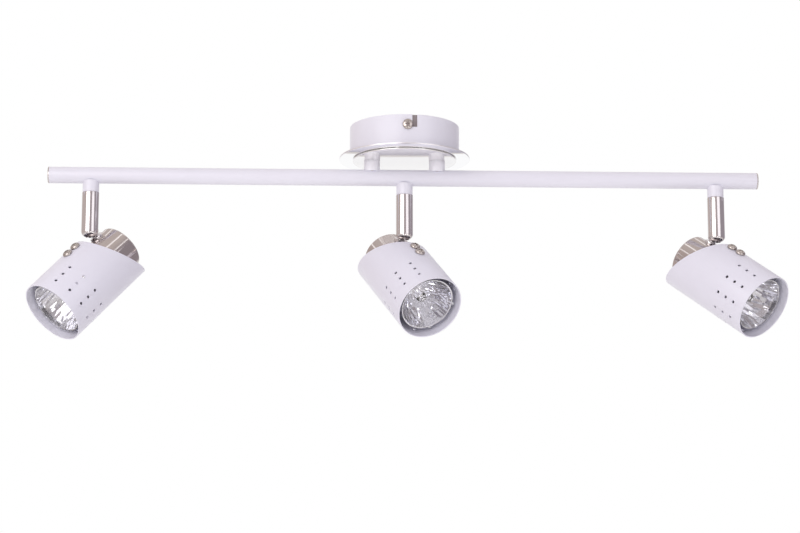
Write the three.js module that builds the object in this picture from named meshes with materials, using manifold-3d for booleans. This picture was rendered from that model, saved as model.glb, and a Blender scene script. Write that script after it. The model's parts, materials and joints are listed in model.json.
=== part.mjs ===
// Three-head ceiling spotlight bar. Millimetres, +Z up, +X along the bar.
// The origin is the middle of the ceiling bracket's top face, so the ceiling is the plane z = 0
// and everything hangs below it.
import * as THREE from "three";
import { mergeVertices } from "three/addons/utils/BufferGeometryUtils.js";
import Module from "manifold-3d";

const wasm = await Module();
wasm.setup();

const DEG = Math.PI / 180;
const GAP = 0.3;                    // clearance between neighbouring pieces

// Sides of a turned solid: large covers, parts a hand wide, and small parts.
const SIDES = { large: 40, shade: 24, medium: 24, small: 16, tiny: 8 };

// ---- driving dimensions --------------------------------------------------------------------
const SHEET = 1.0;                  // wall of the drawn steel covers and of the bar
const CANOPY = { radius: 50, height: 28.4, bendRadius: 2 };
const TRIM = { radius: 59.7, thickness: 1.2 };
const COVER = { radius: 47.5, thickness: 1.2 };
const BRACKET = { thickness: 2, width: 20, tabDepth: 16, slotLength: 14, slotWidth: 5, slotY: 27 };
const SCREW = { z: -9.4, headRadius: 4.8, headHeight: 2.6, shankRadius: 1.8, length: 9 };
// The bracket and the bayonet slots sit slightly off square to the bar.
const BAYONET = { width: 4.4, legX: 6.3, clearRadius: 2.3, turn: 1.3 };
const POST = { x: 29.7, radius: 7.2, bore: 5.3 };
const BOLT = { shank: 4.9, bore: 3.2, headAcross: 8.4, headHeight: 5, reach: 4.2 };
const BAR = { z: -46.8, radius: 7.5, length: 648, capThickness: 1, plugLength: 8 };
const HEAD_X = [-285, 0, 285];
const FERRULE = { radius: 7.4, bottom: -63, bore: 6.3, lipBore: 5.1, lip: 1.3 };
const NECK = { radius: 4.8, bore: 3.4, collar: 5.9, collarHeight: 2, top: -58 };
const STEM = { radius: 7.75, pivotZ: -96.4, drop: 8.1, corner: 5, lipRadius: 3.9, slotHalf: 3.8, slotTop: 4.2 };
const BALL = { radius: 6.3, neckRadius: 3.4, bore: 1.9, flangeRadius: 6.2, flangeTop: 8.9 };
const SEAT = { outer: 6.4, inner: 3.2, bottom: 6, height: 4 };

// A head's own frame: the ball's centre is the origin, +X is where the lamp points and +Z is the
// side that the shade's screws are on. Along the lamp's axis, s runs back from the shade's mouth.
const HEAD = { mouth: 83.4, axisDrop: 32.4 };
const SHADE = { radius: 30.55, wall: 1, shortSide: 65.4, longSide: 100.7, cutTurn: 10.4, lip: 0.9 };
const HOLES = { radius: 1.4, firstS: 12.25, pitch: 9.57, rings: 3, rowAngle: 30, firstRow: 1, lastRow: 11 };
const CUP = { radius: 21.9, front: 62, back: 97.6, corner: 1.5 };
const CLAMP = { front: 63.2, length: 7, thickness: 1.2, stripWidth: 10, stripFront: 40, stripRadius: 28.7 };
const SHADE_SCREW = { s: [46.2, 56.7], headRadius: 4.6, headHeight: 3.4, shankRadius: 1.5, clear: 1.8 };
const HOLDER = { radius: 15, front: 55.8, back: 74, pinSlot: 3 };
const LAMP = { radius: 25, glassFront: 5.5, glass: 1.1, baseRadius: 13.5, baseFront: 37, back: 55.4 };
const PINS = { spacing: 10, shank: 1.5, head: 2.35, headLength: 1.6, length: 6.2 };
const CAPSULE = { radius: 4.4, front: 14, back: 33.6 };
const LEAD = { radius: 1.1, stemRadius: 1.8, harnessRadius: 2 };

// Where each head is set: swivel measured from the room side (-Y) towards +X, tilt below the
// horizontal, and how far the shade is turned on its holder.
const SETTINGS = [
  { name: "left", swivel: -55.5, tilt: 45.0, turn: 9.8 },
  { name: "middle", swivel: 29.5, tilt: 39.9, turn: -1.5 },
  { name: "right", swivel: 47.6, tilt: 35.8, turn: -11.3 },
];

// ---- materials -----------------------------------------------------------------------------
const finish = (color, roughness, metalness) =>
  new THREE.MeshStandardMaterial({ color, roughness, metalness });
const whitePaint = finish(0xe9e8ee, 0.35, 0.0);
const shadePaint = finish(0xd9d8e6, 0.4, 0.0);
const chrome = finish(0xb9b2b0, 0.08, 1.0);
const zinc = finish(0xa7a9a8, 0.4, 1.0);
const brass = finish(0xc8a45a, 0.3, 1.0);
const porcelain = finish(0xece6da, 0.4, 0.0);
const nylon = finish(0xe4e2d8, 0.5, 0.0);
const reflectorMetal = finish(0xcfd2d6, 0.12, 1.0);
const clearGlass = finish(0xdde6ea, 0.02, 0.0);
const leadSleeve = finish(0xd8d4c8, 0.6, 0.0);

// ---- solids --------------------------------------------------------------------------------
// Merges vertices, drops the needle triangles of a lathe's poles and turns the faces outwards.
function closed(geometry) {
  const bare = geometry.clone();
  bare.deleteAttribute("normal");
  bare.deleteAttribute("uv");
  const merged = mergeVertices(bare, 1e-4);
  const index = Array.from(merged.index.array);
  const kept = [];
  for (let i = 0; i < index.length; i += 3) {
    const [a, b, c] = index.slice(i, i + 3);
    if (a !== b && b !== c && c !== a) kept.push(a, b, c);
  }
  const p = merged.attributes.position.array;
  let volume = 0;
  for (let i = 0; i < kept.length; i += 3) {
    const [a, b, c] = kept.slice(i, i + 3).map((k) => new THREE.Vector3(p[3 * k], p[3 * k + 1], p[3 * k + 2]));
    volume += a.dot(b.cross(c));
  }
  if (volume < 0) kept.reverse();
  merged.setIndex(kept);
  return merged;
}

function toManifold(geometry) {
  const g = closed(geometry);
  return new wasm.Manifold(new wasm.Mesh({
    numProp: 3,
    vertProperties: new Float32Array(g.attributes.position.array),
    triVerts: new Uint32Array(g.index.array),
  }));
}

function toGeometry(manifold) {
  const mesh = manifold.getMesh();
  const g = new THREE.BufferGeometry();
  g.setAttribute("position", new THREE.BufferAttribute(new Float32Array(mesh.vertProperties), 3));
  g.setIndex(new THREE.BufferAttribute(new Uint32Array(mesh.triVerts), 1));
  return g;
}

// base + every piece in added - every piece in removed
function shape(base, added = [], removed = []) {
  let solid = toManifold(base);
  for (const g of added) solid = solid.add(toManifold(g));
  for (const g of removed) solid = solid.subtract(toManifold(g));
  return toGeometry(solid);
}

// Profile points are [radius, z]; the turned solid has its axis on Z.
function turned(profile, segments = SIDES.medium) {
  const points = profile.map(([r, z]) => new THREE.Vector2(r, z));
  if (points[0].x > 0) points.push(points[0].clone());
  return closed(new THREE.LatheGeometry(points, segments).rotateX(Math.PI / 2));
}

// Points of a quarter or other arc, as [radius, z] pairs, angles in degrees.
function arc(cx, cz, radius, from, to, steps) {
  const points = [];
  for (let i = 0; i <= steps; i++) {
    const t = (from + ((to - from) * i) / steps) * DEG;
    points.push([cx + radius * Math.cos(t), cz + radius * Math.sin(t)]);
  }
  return points;
}

const box = (x0, x1, y0, y1, z0, z1) =>
  new THREE.BoxGeometry(x1 - x0, y1 - y0, z1 - z0)
    .translate((x0 + x1) / 2, (y0 + y1) / 2, (z0 + z1) / 2);

// A plain rod on Z from z0 to z1.
const rod = (radius, z0, z1, segments = SIDES.small) =>
  new THREE.CylinderGeometry(radius, radius, Math.abs(z1 - z0), segments)
    .rotateX(Math.PI / 2).translate(0, 0, (z0 + z1) / 2);

const ring = (outer, inner, z0, z1, segments = SIDES.medium) =>
  turned([[outer, z0], [outer, z1], [inner, z1], [inner, z0]], segments);

// A round tube or cable through the given [x, y, z] points.
function cable(points, radius, steps) {
  const path = new THREE.CatmullRomCurve3(points.map((p) => new THREE.Vector3(...p)), false, "centripetal");
  const section = new THREE.Shape();
  section.absarc(0, 0, radius, 0, 2 * Math.PI);
  return new THREE.ExtrudeGeometry(section, { steps, curveSegments: 4, extrudePath: path });
}

const part = new THREE.Group();

function place(parent, name, geometry, material) {
  const mesh = new THREE.Mesh(geometry, material.clone());
  mesh.name = name;
  parent.add(mesh);
  return mesh;
}

// ---- ceiling fitting -----------------------------------------------------------------------
const canopyFloorTop = -CANOPY.height + SHEET;
const trimTop = -CANOPY.height - GAP;
const coverTop = trimTop - TRIM.thickness - GAP;
const postTop = coverTop - COVER.thickness - GAP;
const boltHole = (x, z0, z1) => rod(POST.bore, z0, z1).translate(x, 0, 0);
const boltHoles = (z0, z1) => [boltHole(-POST.x, z0, z1), boltHole(POST.x, z0, z1)];

function ceilingBracket() {
  const half = BRACKET.width / 2;
  const end = Math.sqrt((CANOPY.radius - SHEET) ** 2 - half ** 2) - 2 * GAP;
  const tab = (side) => {
    const inner = end - BRACKET.thickness;
    return side > 0
      ? box(-half, half, inner, end, -BRACKET.tabDepth, 0)
      : box(-half, half, -end, -inner, -BRACKET.tabDepth, 0);
  };
  const slot = (y) => box(
    -BRACKET.slotLength / 2, BRACKET.slotLength / 2,
    y - BRACKET.slotWidth / 2, y + BRACKET.slotWidth / 2, -4, 1);
  const screwHoles = rod(BAYONET.clearRadius, -CANOPY.radius, CANOPY.radius)
    .rotateX(Math.PI / 2).translate(0, 0, SCREW.z);
  return shape(
    box(-half, half, -end, end, -BRACKET.thickness, 0),
    [tab(1), tab(-1)],
    [slot(BRACKET.slotY), slot(-BRACKET.slotY), screwHoles]).rotateZ(BAYONET.turn * DEG);
}

// L-shaped slot in the canopy's wall: down from the rim, then sideways to the screw.
function bayonetSlot(side) {
  const halfWidth = BAYONET.width / 2;
  const y0 = side * (CANOPY.radius - 6);
  const y1 = side * (CANOPY.radius + 4);
  const [near, far] = y0 < y1 ? [y0, y1] : [y1, y0];
  const legX = -side * BAYONET.legX;
  const leg = box(legX - halfWidth, legX + halfWidth, near, far, SCREW.z - halfWidth, 2);
  const [x0, x1] = side < 0 ? [0, legX + halfWidth] : [legX - halfWidth, 0];
  const run = box(x0, x1, near, far, SCREW.z - halfWidth, SCREW.z + halfWidth);
  const end = rod(halfWidth, near, far, SIDES.tiny).rotateX(Math.PI / 2)
    .translate(0, near + far, 0).translate(0, 0, SCREW.z);
  return [leg, run, end].map((g) => g.rotateZ(BAYONET.turn * DEG));
}

function canopyCup() {
  const r = CANOPY.radius;
  const bend = CANOPY.bendRadius;
  const profile = [
    [0, -CANOPY.height],
    ...arc(r - bend, -CANOPY.height + bend, bend, -90, 0, 2),
    [r, 0], [r - SHEET, 0],
    ...arc(r - bend, -CANOPY.height + bend, bend - SHEET, 0, -90, 2),
    [0, canopyFloorTop],
  ];
  return shape(turned(profile, SIDES.large), [], [
    ...boltHoles(-CANOPY.height - 1, canopyFloorTop + 1),
    ...bayonetSlot(-1), ...bayonetSlot(1)]);
}

// Pan-head screw on +Z with a cross recess: its head sits on z = seat, its shank ends at z = tip.
function panScrew(seat, tip, headRadius, height, shankRadius) {
  const profile = [
    [0, tip], [shankRadius, tip], [shankRadius, seat], [headRadius, seat], [headRadius, seat + height * 0.35],
    [headRadius * 0.82, seat + height * 0.78], [headRadius * 0.4, seat + height], [0, seat + height],
  ];
  const across = (w, l) => box(-w / 2, w / 2, -l / 2, l / 2, seat + height * 0.45, seat + height + 1);
  return shape(turned(profile, SIDES.small), [], [across(1, 4.6), across(4.6, 1)]);
}

function bracketScrew(side) {
  const seat = CANOPY.radius + GAP;
  return panScrew(seat, seat - SCREW.length, SCREW.headRadius, SCREW.headHeight, SCREW.shankRadius)
    .rotateX(-side * Math.PI / 2).translate(0, 0, SCREW.z).rotateZ(BAYONET.turn * DEG);
}

place(part, "ceiling_bracket", ceilingBracket(), zinc);
place(part, "canopy_cup", canopyCup(), whitePaint);
place(part, "bracket_screw_front", bracketScrew(-1), chrome);
place(part, "bracket_screw_rear", bracketScrew(1), chrome);

const disc = (radius, top, thickness) =>
  shape(turned([
    [0, top - thickness], [radius - 0.4, top - thickness], [radius, top - thickness + 0.4],
    [radius, top], [0, top]], SIDES.large), [], boltHoles(top - thickness - 1, top + 1));
place(part, "trim_disc", disc(TRIM.radius, trimTop, TRIM.thickness), chrome);
place(part, "cover_disc", disc(COVER.radius, coverTop, COVER.thickness), whitePaint);

// ---- posts, hollow bolts and bar -----------------------------------------------------------
const barSaddle = () => rod(BAR.radius + GAP, -60, 60, SIDES.medium).rotateY(Math.PI / 2).translate(0, 0, BAR.z);

function post() {
  return shape(ring(POST.radius, POST.bore, BAR.z, postTop, SIDES.small), [], [barSaddle()]);
}

function hollowBolt() {
  const headBottom = canopyFloorTop + GAP;
  const end = BAR.z + BAR.radius - BOLT.reach;
  const head = rod(BOLT.headAcross, headBottom, headBottom + BOLT.headHeight, 6);
  return shape(head, [rod(BOLT.shank, end, headBottom + 1)], [rod(BOLT.bore, end - 1, 0, SIDES.tiny)]);
}

for (const [name, x] of [["left", -POST.x], ["right", POST.x]]) {
  place(part, `post_${name}`, post(), whitePaint).position.x = x;
  place(part, `hollow_bolt_${name}`, hollowBolt(), brass).position.x = x;
}

const tubeHalf = BAR.length / 2 - BAR.capThickness - GAP;

function barTube() {
  const tube = ring(BAR.radius, BAR.radius - SHEET, -tubeHalf, tubeHalf)
    .rotateY(Math.PI / 2).translate(0, 0, BAR.z);
  const wireHoles = HEAD_X.map((x) =>
    rod(NECK.bore, BAR.z - BAR.radius - 2, BAR.z - 2, SIDES.tiny).translate(x, 0, 0));
  return shape(tube, [], [...boltHoles(BAR.z + 2, BAR.z + BAR.radius + 2), ...wireHoles]);
}

function endCap(side) {
  const half = BAR.length / 2;
  const plug = BAR.radius - SHEET - GAP;
  const profile = [
    [0, half], [BAR.radius - 0.5, half], [BAR.radius, half - 0.4], [BAR.radius, half - BAR.capThickness],
    [plug, half - BAR.capThickness], [plug, half - BAR.plugLength], [plug - SHEET, half - BAR.plugLength],
    [plug - SHEET, half - BAR.capThickness - SHEET], [0, half - BAR.capThickness - SHEET],
  ];
  return turned(profile, SIDES.small).rotateY(side * Math.PI / 2).translate(0, 0, BAR.z);
}

place(part, "bar_tube", barTube(), whitePaint);
place(part, "end_cap_left", endCap(-1), chrome);
place(part, "end_cap_right", endCap(1), chrome);

function ferrule() {
  const lipTop = FERRULE.bottom + FERRULE.lip;
  return shape(turned([
    [FERRULE.radius, FERRULE.bottom], [FERRULE.radius, BAR.z], [FERRULE.bore, BAR.z],
    [FERRULE.bore, lipTop], [FERRULE.lipBore, lipTop], [FERRULE.lipBore, FERRULE.bottom],
  ], SIDES.small), [], [barSaddle()]);
}

// ---- wiring --------------------------------------------------------------------------------
const blockBottom = canopyFloorTop + GAP;
const BLOCK = { halfX: 15, halfY: 9, height: 12, poles: 3, wellRadius: 1.8 };

function terminalBlock() {
  const top = blockBottom + BLOCK.height;
  const wells = [];
  for (let i = 0; i < BLOCK.poles; i++) {
    const x = (i - (BLOCK.poles - 1) / 2) * 9;
    wells.push(rod(BLOCK.wellRadius, top - 4, top + 1, SIDES.tiny).translate(x, -4, 0));
    wells.push(rod(BLOCK.wellRadius, top - 4, top + 1, SIDES.tiny).translate(x, 4, 0));
  }
  return shape(box(-BLOCK.halfX, BLOCK.halfX, -BLOCK.halfY, BLOCK.halfY, blockBottom, top), [], wells);
}

// One bundle along the bar, a tail up through the left bolt to the terminal block, and a short
// drop into each ferrule.
function wiringHarness() {
  const runZ = BAR.z - 2;
  const r = LEAD.harnessRadius;
  const above = canopyFloorTop + BOLT.headHeight + 7;
  const main = rod(r, HEAD_X[0] - 2, HEAD_X[2] + 2, SIDES.tiny).rotateY(Math.PI / 2).translate(0, 0, runZ);
  const tail = cable([
    [-POST.x, 0, runZ], [-POST.x, 0, runZ + 12], [-POST.x, 0, above - 3],
    [-POST.x + 3, 0, above + 1], [-BLOCK.halfX - 7, 0, above - 3], [-BLOCK.halfX - 2 * GAP, 0, above - 6],
  ], r * 0.8, 12);
  const drops = HEAD_X.map((x) => rod(r * 0.9, NECK.top + GAP, runZ, SIDES.tiny).translate(x, 0, 0));
  return shape(main, [tail, ...drops]);
}

place(part, "terminal_block", terminalBlock(), porcelain);
place(part, "wiring_harness", wiringHarness(), leadSleeve);

// ---- stems (z is measured from the ball's centre) --------------------------------------------
const stemTop = FERRULE.bottom - GAP - STEM.pivotZ;
const stemBore = STEM.radius - SHEET;

function stemTube() {
  const lipTop = FERRULE.bottom + FERRULE.lip - STEM.pivotZ;
  const collarBottom = lipTop + GAP;
  const socketLip = -Math.sqrt(stemBore ** 2 - STEM.lipRadius ** 2);
  const socketAngle = Math.asin(socketLip / stemBore) / DEG;
  const cornerCentre = STEM.radius - STEM.corner;
  const lipAngle = -Math.acos((STEM.lipRadius - cornerCentre) / STEM.corner) / DEG;
  const profile = [
    ...arc(cornerCentre, -STEM.drop + STEM.corner, STEM.corner, lipAngle, 0, 4),
    [STEM.radius, stemTop], [NECK.radius, stemTop], [NECK.radius, collarBottom],
    [NECK.collar, collarBottom], [NECK.collar, collarBottom + NECK.collarHeight],
    [NECK.radius, collarBottom + NECK.collarHeight], [NECK.radius, NECK.top - STEM.pivotZ],
    [NECK.bore, NECK.top - STEM.pivotZ], [NECK.bore, stemTop - 2 * SHEET], [stemBore, stemTop - 2 * SHEET],
    ...arc(0, 0, stemBore, 0, socketAngle, 3),
  ];
  const slot = box(-STEM.radius - 1, 0, -STEM.slotHalf, STEM.slotHalf, -STEM.drop - 1, STEM.slotTop);
  return shape(turned(profile, SIDES.small), [], [slot]);
}

const ballSeat = () =>
  turned([
    [SEAT.outer, SEAT.bottom], [SEAT.outer, SEAT.bottom + SEAT.height],
    [SEAT.inner, SEAT.bottom + SEAT.height], [SEAT.inner, SEAT.bottom]], SIDES.small);

const stemLead = () => rod(LEAD.stemRadius, BALL.radius + 0.5, NECK.top - STEM.pivotZ - 0.5, SIDES.tiny);

// ---- head: ball, holder cup, lampholder and lamp ----------------------------------------------
const neckLength = HEAD.axisDrop - CUP.radius;

// A piece drawn on Z from the shade's mouth, in the head's frame.
const onAxis = (geometry) => geometry.rotateY(-Math.PI / 2).translate(HEAD.mouth, 0, -HEAD.axisDrop);

// A bored ball with a hollow neck whose flange sits on the holder cup.
function knuckle() {
  const ball = new THREE.SphereGeometry(BALL.radius, 14, 8).rotateX(Math.PI / 2);
  const neck = rod(BALL.neckRadius, -neckLength - 3, 0, 12);
  const flange = rod(BALL.flangeRadius, -neckLength - 3, -BALL.flangeTop);
  const bore = rod(BALL.bore, -neckLength - 4, BALL.radius + 1, SIDES.tiny);
  const wireMouth = turned([[0, 1], [BALL.bore, 1], [4.2, 8], [0, 8]], SIDES.tiny);
  const cupSeat = onAxis(rod(CUP.radius + GAP, CUP.front - 10, CUP.back + 10, SIDES.large));
  return shape(ball, [neck, flange], [bore, wireMouth, cupSeat]);
}

// Around the lamp's axis everything is drawn on Z, with z = s and +X the side of the shade's screws.
function holderCup() {
  const r = CUP.radius;
  const corner = CUP.corner;
  const wireHole = rod(BALL.bore + GAP, r - 4, r + 4, SIDES.tiny)
    .rotateY(Math.PI / 2).translate(0, 0, HEAD.mouth);
  return shape(turned([
    [r, CUP.front], ...arc(r - corner, CUP.back - corner, corner, 0, 90, 2), [0, CUP.back],
    [0, CUP.back - SHEET], [r - SHEET, CUP.back - SHEET], [r - SHEET, CUP.front],
  ], SIDES.medium), [], [wireHole]);
}

const pinYs = [-PINS.spacing / 2, PINS.spacing / 2];

function lampholder() {
  const sockets = pinYs.map((y) =>
    rod(HOLDER.pinSlot, HOLDER.front - 1, HOLDER.front + PINS.length + 2, SIDES.tiny).translate(0, y, 0));
  return shape(turned([
    [0, HOLDER.front], [HOLDER.radius - 1, HOLDER.front], [HOLDER.radius, HOLDER.front + 1],
    [HOLDER.radius, HOLDER.back], [0, HOLDER.back],
  ], SIDES.small), [], sockets);
}

// A parabola from the throat of the reflector to its rim.
function bowl(radius, throat, throatS, rimS, steps) {
  const points = [];
  for (let i = 0; i <= steps; i++) {
    const r = throat + ((radius - throat) * i) / steps;
    points.push([r, throatS - (throatS - rimS) * ((r * r - throat * throat) / (radius * radius - throat * throat))]);
  }
  return points;
}

function lampReflector() {
  const rim = LAMP.glassFront + LAMP.glass + GAP;
  const r = LAMP.radius;
  const inside = bowl(r - 1.6, 5.6, CAPSULE.back + GAP, rim, 4);
  const outside = bowl(r, LAMP.baseRadius, LAMP.baseFront, rim + 2.4, 3).reverse();
  const body = turned([
    [0, CAPSULE.back + GAP], ...inside, [r, rim], ...outside,
    [LAMP.baseRadius, LAMP.back], [0, LAMP.back]], 24);
  const pins = pinYs.flatMap((y) => [
    rod(PINS.shank, LAMP.back - 1, LAMP.back + PINS.length, 8).translate(0, y, 0),
    rod(PINS.head, LAMP.back + PINS.length - PINS.headLength, LAMP.back + PINS.length, 8).translate(0, y, 0),
  ]);
  return shape(body, pins);
}

const lampGlass = () =>
  turned([
    [0, LAMP.glassFront], [LAMP.radius - 0.3, LAMP.glassFront], [LAMP.radius, LAMP.glassFront + 0.3],
    [LAMP.radius, LAMP.glassFront + LAMP.glass], [0, LAMP.glassFront + LAMP.glass]], SIDES.medium);

function lampCapsule() {
  const r = CAPSULE.radius;
  const dome = arc(0, CAPSULE.front + r, r, -90, 0, 3);
  return turned([...dome, [r, CAPSULE.back], [0, CAPSULE.back]], 12);
}

// From the neck's bore, round the back of the lampholder to its terminals (head's frame).
function headLead() {
  const backX = HEAD.mouth - HOLDER.back - GAP;
  return cable([
    [0, 0, -3.4], [0, 0, -neckLength], [0, 0, -neckLength - 5],
    [backX - 14, 0, -HEAD.axisDrop + 7], [backX - 6, 0, -HEAD.axisDrop + 4],
    [backX, 0, -HEAD.axisDrop + 4]], LEAD.radius, 12);
}

// ---- shade, its clamp and screws ----------------------------------------------------------------
function shadeShell() {
  const r = SHADE.radius;
  const inner = r - SHADE.wall;
  // Turned by half a side, so that every hole sits in the middle of a flat.
  const tube = turned([
    [r, SHADE.lip], ...arc(r - SHADE.lip / 2, SHADE.lip / 2, SHADE.lip / 2, 0, -180, 2).slice(1),
    [inner, SHADE.lip], [inner, SHADE.longSide + 5], [r, SHADE.longSide + 5]], SIDES.shade)
    .rotateZ(Math.PI / SIDES.shade);
  // The rear edge is cut by a plane that leans from the short side to the long side.
  const lean = Math.atan2(SHADE.longSide - SHADE.shortSide, 2 * r);
  const middle = (SHADE.longSide + SHADE.shortSide) / 2;
  const cutter = box(-3 * r, 3 * r, -3 * r, 3 * r, 0, 3 * r).rotateY(lean)
    .rotateZ(SHADE.cutTurn * DEG).translate(0, 0, middle);
  const holes = [];
  for (let row = HOLES.firstRow; row <= HOLES.lastRow; row++) {
    for (let k = 0; k < HOLES.rings; k++) {
      holes.push(rod(HOLES.radius, inner - 2, r + 2, 6).rotateY(Math.PI / 2)
        .translate(0, 0, HOLES.firstS + k * HOLES.pitch)
        .rotateZ(row * HOLES.rowAngle * DEG));
    }
  }
  const screwHoles = SHADE_SCREW.s.map((s) =>
    rod(SHADE_SCREW.clear, inner - 2, r + 2, SIDES.tiny).rotateY(Math.PI / 2).translate(0, 0, s));
  return shape(tube, [], [cutter, ...holes, ...screwHoles]);
}

// A band round the holder cup with a strip that runs forward inside the shade.
function shadeClamp() {
  const bandInner = CUP.radius + GAP;
  const bandOuter = bandInner + CLAMP.thickness;
  const half = CLAMP.stripWidth / 2;
  const band = ring(bandOuter, bandInner, CLAMP.front, CLAMP.front + CLAMP.length);
  const riser = box(bandOuter - 0.5, CLAMP.stripRadius, -half, half, CLAMP.front, CLAMP.front + CLAMP.thickness);
  const strip = box(
    CLAMP.stripRadius - CLAMP.thickness, CLAMP.stripRadius, -half, half,
    CLAMP.stripFront, CLAMP.front + CLAMP.thickness);
  const tapped = SHADE_SCREW.s.map((s) =>
    rod(SHADE_SCREW.clear, CLAMP.stripRadius - 3, CLAMP.stripRadius + 2, SIDES.tiny)
      .rotateY(Math.PI / 2).translate(0, 0, s));
  return shape(band, [riser, strip], tapped);
}

function shadeScrew(s) {
  const { headRadius, headHeight, shankRadius } = SHADE_SCREW;
  return panScrew(SHADE.radius + GAP, CLAMP.stripRadius - 3, headRadius, headHeight, shankRadius)
    .rotateY(Math.PI / 2).translate(0, 0, s);
}

// ---- the three heads ---------------------------------------------------------------------------
SETTINGS.forEach(({ name, swivel, tilt, turn }, i) => {
  const x = HEAD_X[i];
  place(part, `ferrule_${name}`, ferrule(), whitePaint).position.x = x;

  const stem = new THREE.Group();
  stem.position.set(x, 0, STEM.pivotZ);
  stem.rotation.z = (swivel - 90) * DEG;
  part.add(stem);
  place(stem, `stem_tube_${name}`, stemTube(), chrome);
  place(stem, `ball_seat_${name}`, ballSeat(), nylon);
  place(stem, `stem_lead_${name}`, stemLead(), leadSleeve);

  const head = new THREE.Group();
  head.rotation.y = tilt * DEG;
  stem.add(head);
  place(head, `knuckle_${name}`, knuckle(), chrome);
  place(head, `head_lead_${name}`, headLead(), leadSleeve);

  const optic = new THREE.Group();
  optic.position.set(HEAD.mouth, 0, -HEAD.axisDrop);
  optic.rotation.y = -Math.PI / 2;
  head.add(optic);
  place(optic, `holder_cup_${name}`, holderCup(), chrome);
  place(optic, `lampholder_${name}`, lampholder(), porcelain);
  place(optic, `lamp_reflector_${name}`, lampReflector(), reflectorMetal);
  place(optic, `lamp_capsule_${name}`, lampCapsule(), clearGlass);
  place(optic, `lamp_glass_${name}`, lampGlass(), clearGlass);

  const shade = new THREE.Group();
  shade.rotation.z = turn * DEG;
  optic.add(shade);
  place(shade, `shade_${name}`, shadeShell(), shadePaint);
  place(shade, `shade_clamp_${name}`, shadeClamp(), zinc);
  place(shade, `shade_screw_front_${name}`, shadeScrew(SHADE_SCREW.s[0]), chrome);
  place(shade, `shade_screw_rear_${name}`, shadeScrew(SHADE_SCREW.s[1]), chrome);
});

export default part;
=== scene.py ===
"""Looks of a three-head ceiling spotlight bar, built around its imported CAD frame.

Drawing sizes are in millimetres and are turned into metres by MM as each piece is made.
"""
import json
import math
import random

import bpy
from mathutils import Matrix, Vector


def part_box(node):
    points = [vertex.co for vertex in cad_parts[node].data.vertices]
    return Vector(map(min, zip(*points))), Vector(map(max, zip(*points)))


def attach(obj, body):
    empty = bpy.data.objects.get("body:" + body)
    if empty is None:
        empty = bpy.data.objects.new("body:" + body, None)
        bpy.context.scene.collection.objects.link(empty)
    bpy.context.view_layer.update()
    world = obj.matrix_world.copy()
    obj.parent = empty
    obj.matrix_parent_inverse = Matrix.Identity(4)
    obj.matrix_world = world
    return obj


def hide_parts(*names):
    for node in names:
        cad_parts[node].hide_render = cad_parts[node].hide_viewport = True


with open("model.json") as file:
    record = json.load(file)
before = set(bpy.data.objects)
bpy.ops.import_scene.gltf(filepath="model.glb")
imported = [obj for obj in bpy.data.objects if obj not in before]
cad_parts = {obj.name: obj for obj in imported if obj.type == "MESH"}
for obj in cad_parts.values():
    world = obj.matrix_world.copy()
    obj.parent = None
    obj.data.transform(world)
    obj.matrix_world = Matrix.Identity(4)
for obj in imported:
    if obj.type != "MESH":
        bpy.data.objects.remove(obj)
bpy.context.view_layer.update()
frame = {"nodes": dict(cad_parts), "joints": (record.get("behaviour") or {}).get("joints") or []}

MM = 0.001
HEADS = ("left", "middle", "right")

# ---- sizes, in millimetres -------------------------------------------------------------------
BAR_RADIUS, BAR_LENGTH, BAR_WALL = 7.5, 648.0, 1.0
CAP_FLANGE, CAP_PLUG = 1.0, 8.0
CANOPY_RADIUS, CANOPY_WALL = 50.0, 1.0
SLOT_WIDTH, SLOT_LEG_X, SCREW_DROP, BAYONET_ANGLE = 4.4, 6.3, 9.4, 1.3
BRACKET_SCREW_RADIUS, BRACKET_SCREW_HEIGHT, BRACKET_SCREW_SHANK, BRACKET_SCREW_LENGTH = 4.8, 2.6, 1.8, 8.7
BOLT_HOLE = 5.3
POST_RADIUS, FERRULE_RADIUS = 7.2, 7.4
FERRULE_BORE, FERRULE_LIP_BORE, FERRULE_LIP = 6.3, 5.1, 1.3
END_LEVEL = 5.5    # how far from the bar's axis the posts and ferrules stop
STEM_RADIUS, STEM_CORNER, STEM_LIP, STEM_DROP = 7.75, 5.0, 3.9, 8.1
NIPPLE_RADIUS, NIPPLE_BORE, NIPPLE_LENGTH = 4.8, 3.4, 5.0
SLOT_HALF, SLOT_TOP = 3.8, 4.2
BALL_RADIUS, NECK_RADIUS, NECK_BORE = 6.3, 3.4, 1.9
FLANGE_RADIUS, FLANGE_TOP = 6.2, 8.9
MOUTH, AXIS_DROP = 83.4, 32.4
SHADE_RADIUS, SHADE_WALL, SHADE_SHORT, SHADE_LONG, CUT_TURN = 30.55, 1.0, 65.4, 100.7, 10.4
VENT_RADIUS, VENT_FIRST, VENT_PITCH, VENT_RINGS = 1.4, 12.25, 9.57, 3
VENT_TURN, VENT_ROWS = 30, range(1, 12)    # no row in line with the screws
CUP_RADIUS, CUP_FRONT, CUP_BACK = 21.9, 62.0, 97.6
SCREW_PLACES = (("front", 46.2), ("rear", 56.7))
SHADE_SCREW_RADIUS, SHADE_SCREW_HEIGHT, SHADE_SCREW_SHANK = 4.6, 3.4, 1.5
STRIP_RADIUS, STRIP_WIDTH, STRIP_FRONT, STRIP_THICK = 28.7, 10.0, 40.0, 1.2
BAND_FRONT, BAND_LENGTH = 63.2, 7.0
LAMP_RADIUS, GLASS_FRONT, GLASS_THICK = 25.0, 5.5, 1.1
LAMP_BASE, LAMP_BASE_FRONT, LAMP_BACK, THROAT_RADIUS = 13.5, 37.0, 55.4, 5.6
PIN_SHANK, PIN_HEAD, PIN_SPACING = 1.5, 2.35, 10.0
FACET_COUNT, FACET_PLAY = 60, 0.3
CAPSULE_RADIUS, CAPSULE_FRONT, CAPSULE_BACK = 4.4, 14.0, 33.6


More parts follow.
